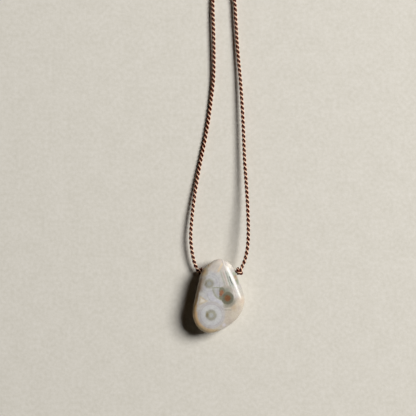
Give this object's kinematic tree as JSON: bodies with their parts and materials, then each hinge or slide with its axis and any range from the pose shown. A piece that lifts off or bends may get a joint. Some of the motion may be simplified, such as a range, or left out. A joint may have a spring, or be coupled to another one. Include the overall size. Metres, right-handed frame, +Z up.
{
  "type": "ocean jasper drop on a cord",
  "caption": "Polished ocean jasper drop, drilled across its narrow end and held between two knots on a twisted silk cord, lying flat with the cord's spare length coiled.",
  "frame": {"origin": "middle of the stone's footprint, on the surface that it lies on", "axes": "+X across the stone, +Y towards its narrow, drilled end, +Z up out of its polished front"},
  "size_m": [0.0278, 0.119, 0.0072],
  "materials": {
    "ocean_jasper": "polished",
    "silk_cord": "satin"
  },
  "bodies": {
    "root": {"stone": "ocean_jasper", "cord_in_bore": "silk_cord", "knot_left": "silk_cord", "knot_right": "silk_cord", "cord_left": "silk_cord", "cord_right": "silk_cord", "cord_coil": "silk_cord", "end_knot": "silk_cord"}
  },
  "joints": []
}
